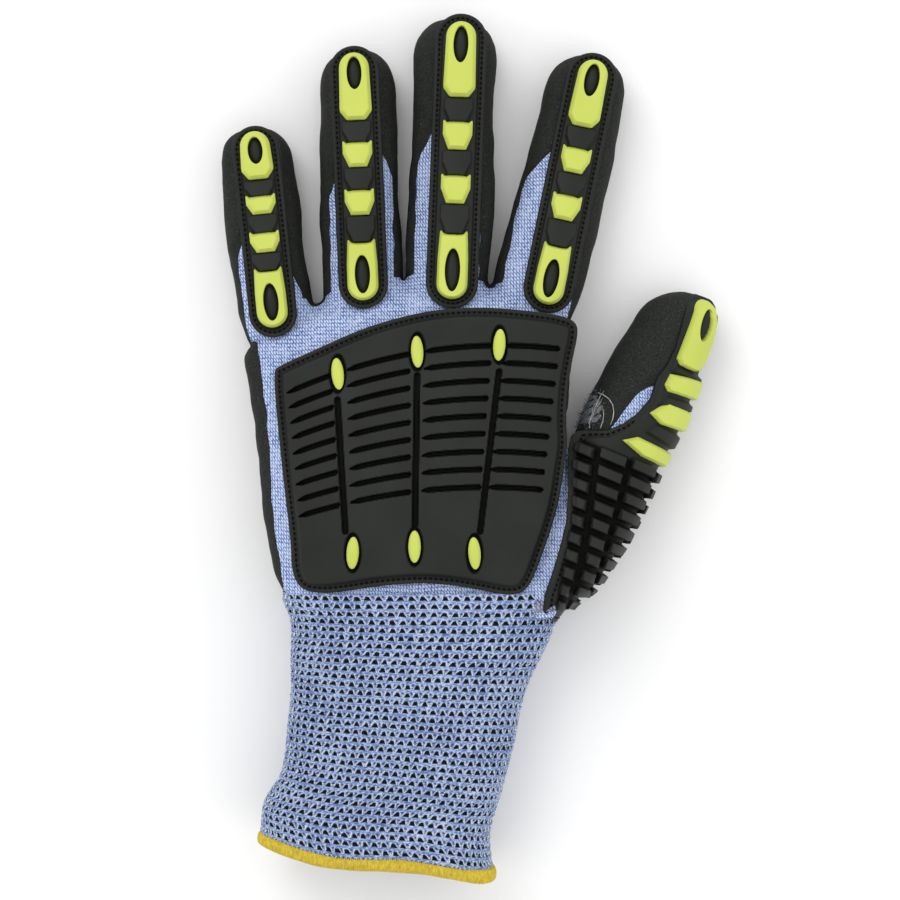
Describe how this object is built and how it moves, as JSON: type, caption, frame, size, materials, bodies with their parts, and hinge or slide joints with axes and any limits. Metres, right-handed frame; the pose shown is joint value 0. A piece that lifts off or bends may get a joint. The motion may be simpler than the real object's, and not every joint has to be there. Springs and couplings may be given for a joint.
{
  "type": "impact_glove",
  "caption": "Left impact glove, palm down: knitted liner and long waffle cuff with yellow hem, sandy black palm dip, black and green rubber guards on the fingers, thumb and back.",
  "frame": {"origin": "middle of the glove's box, at the surface it lies on", "axes": "+Y along the fingers, +X towards the thumb, +Z out of the back of the hand"},
  "size_m": [0.1578, 0.2656, 0.0441],
  "materials": {
    "knit": "matte",
    "cuff_knit": "matte",
    "hem": "matte",
    "coat": "matte",
    "patch": "matte",
    "black_rubber": "satin",
    "green_rubber": "satin"
  },
  "bodies": {
    "root": {"knit_palm": "knit", "knit_cuff": "cuff_knit", "cuff_hem": "hem", "coat_palm": "coat", "thumb_crotch_patch": "patch", "back_plate": "black_rubber", "thumb_guard": "black_rubber", "knit_little": "knit", "coat_little": "coat", "knit_ring": "knit", "coat_ring": "coat", "knit_middle": "knit", "coat_middle": "coat", "knit_index": "knit", "coat_index": "coat", "knit_thumb": "knit", "coat_thumb": "coat", "guard_little": "black_rubber", "green_little_tip_loop": "green_rubber", "green_little_scale_1": "green_rubber", "green_little_scale_2": "green_rubber", "green_little_root_loop": "green_rubber", "guard_ring": "black_rubber", "green_ring_tip_loop": "green_rubber", "green_ring_scale_1": "green_rubber", "green_ring_scale_2": "green_rubber", "green_ring_root_loop": "green_rubber", "guard_middle": "black_rubber", "green_middle_tip_loop": "green_rubber", "green_middle_scale_1": "green_rubber", "green_middle_scale_2": "green_rubber", "green_middle_root_loop": "green_rubber", "guard_index": "black_rubber", "green_index_tip_loop": "green_rubber", "green_index_scale_1": "green_rubber", "green_index_scale_2": "green_rubber", "green_index_root_loop": "green_rubber", "plate_bead_1": "green_rubber", "plate_bead_2": "green_rubber", "plate_bead_3": "green_rubber", "plate_bead_4": "green_rubber", "plate_bead_5": "green_rubber", "plate_bead_6": "green_rubber", "green_thumb_band_1": "green_rubber", "green_thumb_band_2": "green_rubber", "green_thumb_band_3": "green_rubber", "green_thumb_tip_loop": "green_rubber"}
  },
  "joints": []
}
